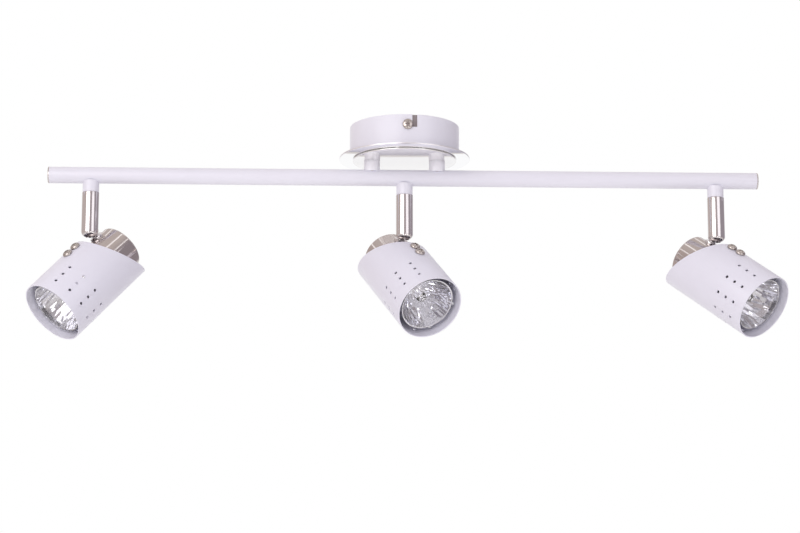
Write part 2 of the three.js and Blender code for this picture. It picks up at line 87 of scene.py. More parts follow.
# ---- modelling helpers -----------------------------------------------------------------------
def clear_selection():
    if bpy.context.object and bpy.context.object.mode != "OBJECT":
        bpy.ops.object.mode_set(mode="OBJECT")
    bpy.ops.object.select_all(action="DESELECT")


def pick(*objects):
    """Selects these objects only; the first is the active one."""
    clear_selection()
    for item in objects:
        item.select_set(True)
    bpy.context.view_layer.objects.active = objects[0]
    return objects[0]


def edit(item):
    pick(item)
    bpy.ops.object.mode_set(mode="EDIT")


def done(item, name=None):
    bpy.ops.object.mode_set(mode="OBJECT")
    if name:
        item.name = item.data.name = name
    return item


def tidy_shell(item):
    """Merges doubles and turns the faces of a closed shell outwards."""
    edit(item)
    bpy.ops.mesh.select_all(action="SELECT")
    bpy.ops.mesh.remove_doubles(threshold=1e-6)
    bpy.ops.mesh.normals_make_consistent(inside=False)
    return done(item)


def turned(name, profile, sides=96):
    """A piece turned on Z: a ring drawn out through each (radius, height) of a closed profile.

    A profile that starts or ends at radius 0 is closed there by a point.
    """
    outline = list(profile)
    if outline[0][0] > 0:
        outline.append(outline[0])
    start = next(i for i, (radius, _) in enumerate(outline) if radius > 0)
    radius, height = outline[start]
    clear_selection()
    bpy.ops.mesh.primitive_circle_add(
        vertices=sides, radius=radius * MM, location=(0, 0, height * MM), fill_type="NOTHING")
    item = bpy.context.object
    bpy.ops.object.transform_apply(location=True)
    edit(item)
    bpy.ops.mesh.select_mode(type="EDGE")
    bpy.ops.mesh.select_all(action="SELECT")
    if start > 0:
        lift = (outline[0][1] - height) * MM
        bpy.ops.mesh.extrude_region_move(TRANSFORM_OT_translate={"value": (0, 0, lift)})
        bpy.ops.mesh.merge(type="CENTER")
        bpy.ops.mesh.select_mode(type="VERT")
        bpy.ops.mesh.select_all(action="DESELECT")
        done(item)
        for vertex in item.data.vertices:
            on_ring = abs(vertex.co.z - height * MM) < 1e-7 and vertex.co.xy.length > 1e-6
            vertex.select = on_ring
        for edge in item.data.edges:
            edge.select = all(item.data.vertices[i].select for i in edge.vertices)
        for face in item.data.polygons:
            face.select = False
        edit(item)
        bpy.ops.mesh.select_mode(type="EDGE")
    for next_radius, next_height in outline[start + 1:]:
        lift = (next_height - height) * MM
        bpy.ops.mesh.extrude_region_move(TRANSFORM_OT_translate={"value": (0, 0, lift)})
        if next_radius <= 0:
            bpy.ops.mesh.merge(type="CENTER")
            break
        growth = next_radius / radius
        bpy.ops.transform.resize(
            value=(growth, growth, 1), center_override=(0, 0, next_height * MM))
        radius, height = next_radius, next_height
    done(item, name)
    return tidy_shell(item)


def arc(centre_radius, centre_height, radius, start, end, steps):
    """Points of an arc in a profile, angles in degrees."""
    points = []
    for i in range(steps + 1):
        angle = math.radians(start + (end - start) * i / steps)
        points.append((centre_radius + radius * math.cos(angle), centre_height + radius * math.sin(angle)))
    return points


def rod(radius, low, high, sides=48, matrix=None):
    """A plain rod on Z, used to cut with or to build on."""
    clear_selection()
    bpy.ops.mesh.primitive_cylinder_add(
        vertices=sides, radius=radius * MM, depth=(high - low) * MM, location=(0, 0, (low + high) / 2 * MM))
    item = bpy.context.object
    bpy.ops.object.transform_apply(location=True)
    if matrix:
        item.data.transform(matrix)
    return item


def block(low, high, matrix=None):
    """A box between two corners, in millimetres."""
    clear_selection()
    size = [(b - a) * MM for a, b in zip(low, high)]
    middle = [(a + b) / 2 * MM for a, b in zip(low, high)]
    bpy.ops.mesh.primitive_cube_add(size=1, location=middle, scale=size)
    item = bpy.context.object
    bpy.ops.object.transform_apply(location=True, scale=True)
    if matrix:
        item.data.transform(matrix)
    return item


def joined(name, items):
    pick(*items)
    bpy.ops.object.join()
    return done(bpy.context.object, name)


def modified(item, kind, **settings):
    """Adds a modifier, sets it and applies it."""
    pick(item)
    modifier = item.modifiers.new(kind.title(), kind)
    for key, value in settings.items():
        setattr(modifier, key, value)
    bpy.ops.object.modifier_apply(modifier=modifier.name)
    return item


def cut(item, cutters, operation="DIFFERENCE"):
    for cutter in cutters:
        modified(item, "BOOLEAN", object=cutter, operation=operation, solver="EXACT")
        bpy.data.objects.remove(cutter)
    return item


def rounded(item, width, segments=2, angle=40):
    """Breaks the sharp edges of a piece."""
    return modified(
        item, "BEVEL", width=width * MM, segments=segments, limit_method="ANGLE",
        angle_limit=math.radians(angle), harden_normals=False)


def smooth(item, angle=35):
    pick(item)
    bpy.ops.object.shade_smooth_by_angle(angle=math.radians(angle))
    return item


def placed_copy(item, name, matrix):
    copy = item.copy()
    copy.data = item.data.copy()
    bpy.context.scene.collection.objects.link(copy)
    copy.name = copy.data.name = name
    copy.data.transform(matrix)
    return copy


# ---- materials -------------------------------------------------------------------------------
class Socket:
    """A shader value that can be used in sums."""

    def __init__(self, finish, socket):
        self.finish = finish
        self.socket = socket

    def maths(self, operation, *values):
        return self.finish.node(
            "ShaderNodeMath", {"operation": operation}, dict(enumerate(values)))

    def __add__(self, other):
        return self.maths("ADD", self, other)

    def __sub__(self, other):
        return self.maths("SUBTRACT", self, other)

    def __mul__(self, other):
        return self.maths("MULTIPLY", self, other)

    def __pow__(self, other):
        return self.maths("POWER", self, other)

    __radd__ = __add__


class Finish:
    """A material with one Principled shader and the nodes that feed it."""

    def __init__(self, name, **constants):
        self.material = bpy.data.materials.new(name)
        self.material.use_nodes = True
        self.tree = self.material.node_tree
        self.shader = self.tree.nodes["Principled BSDF"]
        for key, value in constants.items():
            self.shader.inputs[key.replace("_", " ").title().replace("Ior", "IOR")].default_value = value
        self.place = self.node("ShaderNodeTexCoord", output="Object")

    def node(self, kind, settings=None, inputs=None, output=0):
        made = self.tree.nodes.new(kind)
        for key, value in (settings or {}).items():
            setattr(made, key, value)
        for key, value in (inputs or {}).items():
            self.feed(made.inputs[key], value)
        return Socket(self, made.outputs[output])

    def feed(self, socket, value):
        if isinstance(value, Socket):
            self.tree.links.new(value.socket, socket)
        else:
            socket.default_value = value

    def set(self, name, value):
        self.feed(self.shader.inputs[name], value)

    def noise(self, scale, detail=3.0, roughness=0.5, place=None):
        return self.node(
            "ShaderNodeTexNoise", {},
            {"Vector": place or self.place, "Scale": scale, "Detail": detail, "Roughness": roughness})

    def stretched(self, scale):
        return self.node("ShaderNodeMapping", {}, {"Vector": self.place, "Scale": scale})

    def split(self, vector):
        parts = self.node("ShaderNodeSeparateXYZ", {}, {0: vector})
        return [Socket(self, output) for output in parts.socket.node.outputs]

    def mix(self, factor, first, second):
        return self.node(
            "ShaderNodeMix", {"data_type": "RGBA"}, {0: factor, 6: first, 7: second}, output=2)

    def bump(self, height, distance, strength=1.0):
        self.set("Normal", self.node(
            "ShaderNodeBump", {}, {"Height": height, "Distance": distance, "Strength": strength}))


def powder_coat(name, colour, darker, roughness):
    """Sprayed and baked paint: a fine orange peel, a little dust and a slightly uneven gloss."""
    finish = Finish(name, ior=1.5)
    peel = finish.noise(900, 2.0)
    drift = finish.noise(35, 4.0, 0.6)
    finish.set("Base Color", finish.mix(drift, (*darker, 1), (*colour, 1)))
    finish.set("Roughness", roughness + (drift - 0.5) * 0.12 + (peel - 0.5) * 0.05)
    finish.bump(peel + finish.noise(2600, 1.0) * 0.3, 0.00002, 0.35)
    return finish.material


def plated(name, colour, darker, roughness, streak=(1, 1, 1), haze=0.06):
    """Polished plate: faint haze and the fine lines that the buffing wheel leaves."""
    finish = Finish(name, metallic=1.0)
    smear = finish.noise(60, 5.0, 0.65)
    lines = finish.noise(1200, 2.0, 0.5, finish.stretched(streak))
    finish.set("Base Color", finish.mix(smear, (*darker, 1), (*colour, 1)))
    finish.set("Roughness", roughness + (smear ** 3) * haze + (lines - 0.5) * haze * 0.4)
    finish.bump(lines, 0.000002, 0.12)
    return finish.material


def mirror_disc(name, colour, rim_colour, rim_radius):
    """A mirror-polished disc whose rim is a little duller and darker."""
    finish = Finish(name, metallic=1.0)
    x, y, _ = finish.split(finish.place)
    distance = (x * x + y * y) ** 0.5
    rim = finish.node(
        "ShaderNodeMapRange", {"interpolation_type": "SMOOTHSTEP"},
        {"Value": distance, "From Min": (rim_radius - 0.4) * MM, "From Max": (rim_radius - 0.1) * MM})
    smear = finish.noise(40, 4.0, 0.6)
    finish.set("Base Color", finish.mix(rim, (*colour, 1), (*rim_colour, 1)))
    finish.set("Roughness", 0.02 + (smear ** 3) * 0.04 + rim * 0.3)
    finish.bump(finish.noise(900, 2.0), 0.000002, 0.1)
    return finish.material


def gloss_enamel(name, colour, darker):
    """A wet-gloss coat over a bright base, which mirrors the posts."""
    finish = Finish(name, metallic=0.7, ior=1.52, coat_weight=1.0, coat_roughness=0.03)
    drift = finish.noise(30, 4.0, 0.6)
    finish.set("Base Color", finish.mix(drift, (*darker, 1), (*colour, 1)))
    finish.set("Roughness", 0.06 + (drift - 0.5) * 0.06)
    finish.bump(finish.noise(500, 1.0), 0.00001, 0.1)
    return finish.material


def rough_metal(name, colour, darker, roughness, grain=700):
    """Plated steel or brass as it comes from the press or the lathe."""
    finish = Finish(name, metallic=1.0)
    spangle = finish.node("ShaderNodeTexVoronoi", {}, {"Vector": finish.place, "Scale": grain}, "Distance")
    cloud = finish.noise(90, 4.0, 0.6)
    finish.set("Base Color", finish.mix(cloud, (*darker, 1), (*colour, 1)))
    finish.set("Roughness", roughness + (cloud - 0.5) * 0.25 + spangle * 0.08)
    finish.bump(spangle + cloud, 0.00002, 0.3)
    return finish.material


def moulded(name, colour, darker, roughness, grain=1400):
    """Porcelain, plastic or a woven sleeve: a fine grain and a slightly uneven colour."""
    finish = Finish(name)
    specks = finish.noise(grain, 3.0, 0.6)
    cloud = finish.noise(70, 3.0, 0.5)
    finish.set("Base Color", finish.mix(cloud * 0.6 + specks * 0.4, (*darker, 1), (*colour, 1)))
    finish.set("Roughness", roughness + (specks - 0.5) * 0.15)
    finish.bump(specks, 0.00003, 0.4)
    return finish.material


def lamp_glass_finish(name, tint, roughness):
    """Clear pressed glass with a faint ripple."""
    finish = Finish(name, ior=1.47, transmission_weight=1.0)
    ripple = finish.noise(120, 2.0)
    finish.set("Base Color", finish.mix(ripple, (*tint, 1), (1, 1, 1, 1)))
    finish.set("Roughness", roughness + (ripple - 0.5) * 0.01)
    finish.bump(ripple, 0.00002, 0.2)
    return finish.material


WHITE = powder_coat("white_powder_coat", (0.78, 0.78, 0.88), (0.75, 0.75, 0.85), 0.32)
# The posts take a lighter copy of the white coat: painted light, for the extra light that falls on them.
LIT_POST_WHITE = powder_coat("post_powder_coat_painted_lit", (0.90, 0.90, 0.98), (0.87, 0.87, 0.95), 0.32)
ENAMEL = gloss_enamel("gloss_enamel", (0.90, 0.89, 0.90), (0.88, 0.87, 0.88))
SHADE = powder_coat("shade_lacquer", (0.76, 0.76, 0.87), (0.73, 0.73, 0.84), 0.34)
# The shades' inner faces take a lighter copy of the lacquer: painted light, for the light that bounces
# inside a shade.
LIT_SHADE_INSIDE = powder_coat("shade_inside_painted_lit", (0.93, 0.93, 0.97), (0.90, 0.90, 0.94), 0.4)
CHROME = plated("polished_chrome", (0.78, 0.75, 0.76), (0.70, 0.67, 0.68), 0.10, (1, 1, 14))
CAP_CHROME = plated("cap_chrome", (0.66, 0.61, 0.60), (0.56, 0.51, 0.50), 0.09)
REFLECTOR = plated("reflector_silver", (0.76, 0.76, 0.80), (0.66, 0.66, 0.71), 0.03, haze=0.03)
REFLECTOR_BACK = rough_metal("reflector_back", (0.20, 0.20, 0.22), (0.15, 0.15, 0.17), 0.5)
SCREW_STEEL = plated("screw_steel", (0.58, 0.53, 0.51), (0.46, 0.42, 0.40), 0.16)
ZINC = rough_metal("zinc_plate", (0.38, 0.34, 0.35), (0.28, 0.25, 0.26), 0.38)
BRASS = rough_metal("turned_brass", (0.78, 0.60, 0.30), (0.66, 0.48, 0.22), 0.28, 500)
PORCELAIN = moulded("steatite", (0.86, 0.83, 0.77), (0.80, 0.77, 0.71), 0.45)
NYLON = moulded("nylon", (0.82, 0.81, 0.76), (0.76, 0.75, 0.70), 0.5)
SLEEVE = moulded("woven_sleeve", (0.80, 0.78, 0.72), (0.66, 0.64, 0.58), 0.7, 2200)
GLASS = lamp_glass_finish("clear_glass", (0.98, 0.98, 1.0), 0.01)


def finish_piece(item, material, body, node):
    """Gives a piece its finish, its body and the CAD node that it takes the place of."""
    item.data.materials.clear()
    item.data.materials.append(material)
    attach(item, body)
    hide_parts(node)


def repaint(node, material):
    """A CAD node whose shape is right keeps it and takes the better finish."""
    item = frame["nodes"][node]
    item.data.materials.clear()
    item.data.materials.append(material)


# ---- places, from the frame --------------------------------------------------------------------
JOINTS = {joint["name"]: joint for joint in frame["joints"]}
bar_low, bar_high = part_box("bar_tube")
BAR_Z = (bar_low.z + bar_high.z) / 2 / MM
CANOPY_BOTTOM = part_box("canopy_cup")[0].z / MM
TRIM_LOW, TRIM_TOP = (corner.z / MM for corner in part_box("trim_disc"))
TRIM_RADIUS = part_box("trim_disc")[1].x / MM
COVER_LOW, COVER_TOP = (corner.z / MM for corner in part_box("cover_disc"))
COVER_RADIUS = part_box("cover_disc")[1].x / MM
post_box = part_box("post_right")
POST_X = (post_box[0].x + post_box[1].x) / 2 / MM
FERRULE_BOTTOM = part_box("ferrule_middle")[0].z / MM


def columns(x_axis, y_axis, z_axis, origin):
    matrix = Matrix((x_axis, y_axis, z_axis)).transposed().to_4x4()
    matrix.translation = origin
    return matrix


class HeadPlace:
    """Where one head is: its stem, its ball, its lamp's axis and how far its shade is turned."""

    def __init__(self, name):
        tilt = JOINTS[f"tilt_{name}"]
        turn = JOINTS[f"shade_turn_{name}"]
        pivot = Vector(tilt["pos_m"])
        across = Vector(tilt["axis"])
        back = Vector(turn["axis"]).normalized()
        up = (-back).cross(across)
        level = across.cross(Vector((0, 0, 1)))
        self.pivot = pivot
        self.stem = columns(level, across, Vector((0, 0, 1)), pivot)
        self.head = columns(-back, across, up, pivot)
        self.optic = columns(up, across, back, pivot + (MOUTH * -back - AXIS_DROP * up) * MM)
        turned_by = -math.radians(sum(turn["range_deg"]) / 2)
        self.shade = self.optic @ Matrix.Rotation(turned_by, 4, "Z")


PLACES = {name: HeadPlace(name) for name in HEADS}
# The bayonet and its bracket sit slightly off square to the bar.
BAYONET_TURN = Matrix.Rotation(math.radians(BAYONET_ANGLE), 4, "Z")
UPRIGHT_TO_X = Matrix.Rotation(math.radians(90), 4, "Y")
UPRIGHT_TO_Y = Matrix.Rotation(math.radians(-90), 4, "X")


def shift(x=0, y=0, z=0):
    return Matrix.Translation(Vector((x, y, z)) * MM)


# ---- ceiling fitting ---------------------------------------------------------------------------
def bolt_cutters(low, high):
    return [rod(BOLT_HOLE, low, high, 48, shift(x=side * POST_X)) for side in (-1, 1)]


def bayonet_cutters(side):
    """The L of the bayonet slot: down from the rim, then sideways to the screw's seat."""
    half = SLOT_WIDTH / 2
    near, far = sorted((side * (CANOPY_RADIUS - 6), side * (CANOPY_RADIUS + 4)))
    leg = -side * SLOT_LEG_X
    low = -SCREW_DROP - half
    left, right = sorted((0, leg))
    return [
        block((leg - half, near, low), (leg + half, far, 2), BAYONET_TURN),
        block((left, near, low), (right, far, low + SLOT_WIDTH), BAYONET_TURN),
        rod(half, near, far, 32, BAYONET_TURN @ shift(z=-SCREW_DROP) @ UPRIGHT_TO_Y),
    ]


def make_canopy():
    wall, bottom, radius = CANOPY_WALL, CANOPY_BOTTOM, CANOPY_RADIUS
    bend = 2.0
    canopy = turned("canopy", [
        (0, bottom),
        *arc(radius - bend, bottom + bend, bend, -90, 0, 8),
        *arc(radius - 0.3, -0.3, 0.3, 0, 90, 3),
        *arc(radius - wall + 0.3, -0.3, 0.3, 90, 180, 3),
        *arc(radius - bend, bottom + bend, bend - wall, 0, -90, 5),
        (0, bottom + wall),
    ], 192)
    cut(canopy, bolt_cutters(bottom - 2, bottom + 4))
    cut(canopy, bayonet_cutters(-1) + bayonet_cutters(1))
    smooth(canopy)
    finish_piece(canopy, WHITE, "ceiling_fitting", "canopy_cup")


def make_disc(name, radius, low, top, lip, material, node):
    """A spun disc whose rim is rolled over by a small radius."""
    disc = turned(name, [
        (0, low),
        *arc(radius - lip, low + lip, lip, -90, 0, 6),
        *arc(radius - lip, top - lip, lip, 0, 90, 6),
        (0, top),
    ], 192)
    cut(disc, bolt_cutters(low - 2, top + 2))
    smooth(disc, 50)
    finish_piece(disc, material, "ceiling_fitting", node)


def pan_screw(name, seat, tip, radius, height, shank):
    """Machine screw on Z: domed head on the seat, cross recess, shank down to the tip."""
    dome = [(radius * math.cos(a), seat + 0.8 + (height - 0.8) * math.sin(a))
            for a in (math.radians(d) for d in range(10, 90, 10))]
    screw = turned(name, [
        (0, tip), (shank - 0.3, tip), (shank, tip + 0.3), (shank, seat), (radius - 0.2, seat),
        (radius, seat + 0.2), (radius, seat + 0.8), *dome, (0, seat + height)], 64)
    recess = []
    for turn in (0, 90):
        slot = block((-0.55, -2.5, seat + 1.0), (0.55, 2.5, seat + height + 1))
        slot.data.transform(Matrix.Rotation(math.radians(turn), 4, "Z"))
        recess.append(slot)
    cut(screw, recess)
    rounded(screw, 0.12, 2, 50)
    return smooth(screw, 40)


def make_bracket_screw(side, name):
    seat = CANOPY_RADIUS + 0.15
    screw = pan_screw(
        name, seat, seat - BRACKET_SCREW_LENGTH,
        BRACKET_SCREW_RADIUS, BRACKET_SCREW_HEIGHT, BRACKET_SCREW_SHANK)
    onto_wall = Matrix.Rotation(math.radians(-90 * side), 4, "X")
    screw.data.transform(BAYONET_TURN @ shift(z=-SCREW_DROP) @ onto_wall)
    node = f"bracket_screw_{'front' if side < 0 else 'rear'}"
    finish_piece(screw, SCREW_STEEL, "ceiling_fitting", node)


def bar_cutter():
    return rod(BAR_RADIUS + 0.05, -60, 60, 128, shift(z=BAR_Z) @ UPRIGHT_TO_X)


def make_post(side, name):
    low, top = BAR_Z + END_LEVEL, COVER_LOW - 0.05
    post = turned(name, [(POST_RADIUS, low), (POST_RADIUS, top), (BOLT_HOLE, top), (BOLT_HOLE, low)], 96)
    cut(post, [bar_cutter()])
    rounded(post, 0.2)
    smooth(post)
    post.data.transform(shift(x=side * POST_X))
    # The posts' lighter coat is painted light, not a different paint.
    finish_piece(post, LIT_POST_WHITE, "ceiling_fitting", name)


def make_bar():
    half = BAR_LENGTH / 2 - CAP_FLANGE - 0.05
    inner = BAR_RADIUS - BAR_WALL
    bar = turned("bar", [
        *arc(BAR_RADIUS - 0.25, half - 0.25, 0.25, 0, 90, 3), (inner, half),
        (inner, -half), *arc(BAR_RADIUS - 0.25, -half + 0.25, 0.25, -90, 0, 3),
    ], 128)
    bar.data.transform(shift(z=BAR_Z) @ UPRIGHT_TO_X)
    wire_holes = [
        rod(NIPPLE_BORE, BAR_Z - BAR_RADIUS - 2, BAR_Z - 2, 32, Matrix.Translation((place.pivot.x, 0, 0)))
        for place in PLACES.values()]
    cut(bar, bolt_cutters(BAR_Z + 2, BAR_Z + BAR_RADIUS + 2) + wire_holes)
    smooth(bar)
    finish_piece(bar, WHITE, "ceiling_fitting", "bar_tube")


def make_end_cap(side, name):
    half = BAR_LENGTH / 2
    plug = BAR_RADIUS - BAR_WALL - 0.1
    cap = turned(name, [
        (0, half), *arc(BAR_RADIUS - 0.6, half - 0.6, 0.6, 90, 0, 5),
        (BAR_RADIUS, half - CAP_FLANGE), (plug, half - CAP_FLANGE), (plug, half - CAP_PLUG),
        (plug - 1, half - CAP_PLUG), (plug - 1, half - 2 * CAP_FLANGE), (0, half - 2 * CAP_FLANGE),
    ], 96)
    cap.data.transform(shift(z=BAR_Z) @ Matrix.Rotation(math.radians(90 * side), 4, "Y"))
    smooth(cap, 40)
    finish_piece(cap, CAP_CHROME, "ceiling_fitting", name)


def make_ferrules():
    low, top = FERRULE_BOTTOM, BAR_Z - END_LEVEL
    lip_top = low + FERRULE_LIP
    pattern = turned("ferrule", [
        (FERRULE_LIP_BORE, low), *arc(FERRULE_RADIUS - 0.4, low + 0.4, 0.4, -90, 0, 4),
        (FERRULE_RADIUS, top), (FERRULE_BORE, top), (FERRULE_BORE, lip_top), (FERRULE_LIP_BORE, lip_top),
    ], 96)
    cut(pattern, [bar_cutter()])
    smooth(pattern)
    for head, place in PLACES.items():
        name = f"ferrule_{head}"
        ferrule = placed_copy(pattern, f"{name}_sleeve", Matrix.Translation((place.pivot.x, 0, 0)))
        finish_piece(ferrule, WHITE, "ceiling_fitting", name)
    bpy.data.objects.remove(pattern)


# ---- stems and knuckles (z from the ball's centre) -----------------------------------------------
def make_stems():
    top = FERRULE_BOTTOM - 0.15 - PLACES["middle"].pivot.z / MM
    bore = STEM_RADIUS - 1
    socket = -math.degrees(math.acos(STEM_LIP / bore))
    centre = STEM_RADIUS - STEM_CORNER
    lip = -math.degrees(math.acos((STEM_LIP - centre) / STEM_CORNER))
    pattern = turned("stem", [
        *arc(centre, -STEM_DROP + STEM_CORNER, STEM_CORNER, lip, 0, 14),
        *arc(STEM_RADIUS - 0.3, top - 0.3, 0.3, 0, 90, 3),
        (NIPPLE_RADIUS, top), (NIPPLE_RADIUS, top + NIPPLE_LENGTH), (NIPPLE_BORE, top + NIPPLE_LENGTH),
        (NIPPLE_BORE, top - 2), (bore, top - 2),
        *arc(0, 0, bore, 0, socket, 8),
    ], 96)
    straight = SLOT_TOP - SLOT_HALF
    slot = [
        block((-STEM_RADIUS - 1, -SLOT_HALF, -STEM_DROP - 1), (0, SLOT_HALF, straight)),
        rod(SLOT_HALF, -STEM_RADIUS - 1, 0, 32, shift(z=straight) @ UPRIGHT_TO_X),
    ]
    cut(pattern, slot)
    rounded(pattern, 0.25, 2, 50)
    smooth(pattern, 40)
    for head, place in PLACES.items():
        stem = placed_copy(pattern, f"stem_{head}", place.stem)
        finish_piece(stem, CHROME, f"stem_{head}", f"stem_tube_{head}")
    bpy.data.objects.remove(pattern)


def make_knuckles():
    """A bored ball with a hollow neck that ends in a flange on the holder cup."""
    length = AXIS_DROP - CUP_RADIUS
    clear_selection()
    bpy.ops.mesh.primitive_uv_sphere_add(segments=64, ring_count=32, radius=BALL_RADIUS * MM)
    pattern = done(bpy.context.object, "knuckle")
    neck = turned("neck", [
        (0, 0), (NECK_RADIUS, 0), (NECK_RADIUS, -FLANGE_TOP + 0.5),
        *arc(NECK_RADIUS + 0.5, -FLANGE_TOP + 0.5, 0.5, 180, 270, 3),
        (FLANGE_RADIUS, -FLANGE_TOP), (FLANGE_RADIUS, -length - 4), (0, -length - 4)], 64)
    cut(pattern, [neck], "UNION")
    seat = rod(CUP_RADIUS + 0.05, CUP_FRONT - 10, CUP_BACK + 10, 128)
    onto_axis = Matrix.Rotation(math.radians(-90), 4, "Y")
    seat.data.transform(shift(x=MOUTH, z=-AXIS_DROP) @ onto_axis)
    cut(pattern, [rod(NECK_BORE, -length - 6, BALL_RADIUS + 1, 32), seat])
    rounded(pattern, 0.2, 2, 50)
    smooth(pattern, 40)
    for head, place in PLACES.items():
        knuckle = placed_copy(pattern, f"knuckle_{head}_stud", place.head)
        finish_piece(knuckle, CHROME, f"head_{head}", f"knuckle_{head}")
    bpy.data.objects.remove(pattern)


# ---- heads (z runs back from the shade's mouth, +X is the screws' side) ------------------------
def copies(pattern, node, body, material, place="optic", second=None):
    """Puts a copy of the pattern in each head, for the CAD node of that name.

    Faces with material index 1 take the second material.
    """
    for head in HEADS:
        item = placed_copy(pattern, f"{node}_{head}_part", getattr(PLACES[head], place))
        finish_piece(item, material, f"{body}_{head}", f"{node}_{head}")
        if second:
            item.data.materials.append(second)
    bpy.data.objects.remove(pattern)


def make_cups():
    radius, wall, corner = CUP_RADIUS, 1.0, 1.6
    cup = turned("holder_cup", [
        (0, CUP_BACK), *arc(radius - corner, CUP_BACK - corner, corner, 90, 0, 6),
        (radius, CUP_FRONT + 0.3), (radius - 0.3, CUP_FRONT), (radius - wall, CUP_FRONT),
        *arc(radius - corner, CUP_BACK - corner, corner - wall, 0, 90, 4), (0, CUP_BACK - wall),
    ], 128)
    cut(cup, [rod(NECK_BORE + 0.3, radius - 4, radius + 4, 32, shift(z=MOUTH) @ UPRIGHT_TO_X)])
    smooth(cup, 40)
    copies(cup, "holder_cup", "head", CAP_CHROME)


def make_shades():
    radius, wall = SHADE_RADIUS, SHADE_WALL
    clear_selection()
    depth = SHADE_LONG + 10
    bpy.ops.mesh.primitive_cylinder_add(
        vertices=192, radius=radius * MM, depth=depth * MM, end_fill_type="NOTHING",
        location=(0, 0, depth / 2 * MM))
    shade = bpy.context.object
    bpy.ops.object.transform_apply(location=True)
    lean = math.atan2(SHADE_LONG - SHADE_SHORT, 2 * radius)
    leaning = Vector((math.sin(lean), 0, math.cos(lean)))
    cut_normal = Matrix.Rotation(math.radians(CUT_TURN), 3, "Z") @ leaning
    edit(shade)
    bpy.ops.mesh.select_all(action="SELECT")
    bpy.ops.mesh.bisect(
        plane_co=(0, 0, (SHADE_LONG + SHADE_SHORT) / 2 * MM), plane_no=cut_normal, clear_outer=True)
    done(shade, "shade")
    modified(shade, "SOLIDIFY", thickness=wall * MM, offset=-1)
    rounded(shade, 0.35, 3, 50)
    vents = []
    for row in VENT_ROWS:
        around = Matrix.Rotation(math.radians(row * VENT_TURN), 4, "Z")
        for ring in range(VENT_RINGS):
            height = VENT_FIRST + ring * VENT_PITCH
            vents.append(rod(
                VENT_RADIUS, radius - wall - 2, radius + 2, 24, around @ shift(z=height) @ UPRIGHT_TO_X))
    for _, place in SCREW_PLACES:
        vents.append(rod(
            SHADE_SCREW_SHANK + 0.3, radius - wall - 2, radius + 2, 24, shift(z=place) @ UPRIGHT_TO_X))
    cut(shade, [joined("vents", vents)])
    smooth(shade, 35)
    # Faces that look in towards the axis take the lighter inside copy, as painted light.
    for face in shade.data.polygons:
        facing_axis = Vector((face.center.x, face.center.y, 0)).normalized().dot(face.normal) < -0.5
        face.material_index = 1 if facing_axis else 0
    copies(shade, "shade", "shade", SHADE, "shade", LIT_SHADE_INSIDE)


def make_clamps():
    """A band round the cup with a riser and a strip that the screws pull the shade to."""
    inner = CUP_RADIUS + 0.15
    band = turned("clamp", [
        (inner, BAND_FRONT), (inner + STRIP_THICK, BAND_FRONT),
        (inner + STRIP_THICK, BAND_FRONT + BAND_LENGTH), (inner, BAND_FRONT + BAND_LENGTH)], 96)
    half = STRIP_WIDTH / 2
    riser = block((inner + 0.6, -half, BAND_FRONT), (STRIP_RADIUS, half, BAND_FRONT + STRIP_THICK))
    strip = block(
        (STRIP_RADIUS - STRIP_THICK, -half, STRIP_FRONT), (STRIP_RADIUS, half, BAND_FRONT + STRIP_THICK))
    cut(band, [riser, strip], "UNION")
    cut(band, [rod(1.8, STRIP_RADIUS - 3, STRIP_RADIUS + 2, 24, shift(z=place) @ UPRIGHT_TO_X)
               for _, place in SCREW_PLACES])
    rounded(band, 0.25, 2, 50)
    smooth(band, 40)
    copies(band, "shade_clamp", "shade", ZINC, "shade")


def make_shade_screws():
    screw = pan_screw(
        "shade_screw", SHADE_RADIUS + 0.1, STRIP_RADIUS - 3,
        SHADE_SCREW_RADIUS, SHADE_SCREW_HEIGHT, SHADE_SCREW_SHANK)
    for label, place in SCREW_PLACES:
        item = placed_copy(screw, f"{label}_pattern", shift(z=place) @ UPRIGHT_TO_X)
        copies(item, f"shade_screw_{label}", "shade", SCREW_STEEL, "shade")
    bpy.data.objects.remove(screw)


# ---- lamp --------------------------------------------------------------------------------------
def bowl(rim_radius, throat_radius, throat, rim, steps):
    """Points of a parabola from the throat out to the rim."""
    points = []
    for i in range(steps + 1):
        radius = throat_radius + (rim_radius - throat_radius) * i / steps
        share = (radius ** 2 - throat_radius ** 2) / (rim_radius ** 2 - throat_radius ** 2)
        points.append((radius, throat - (throat - rim) * share))
    return points


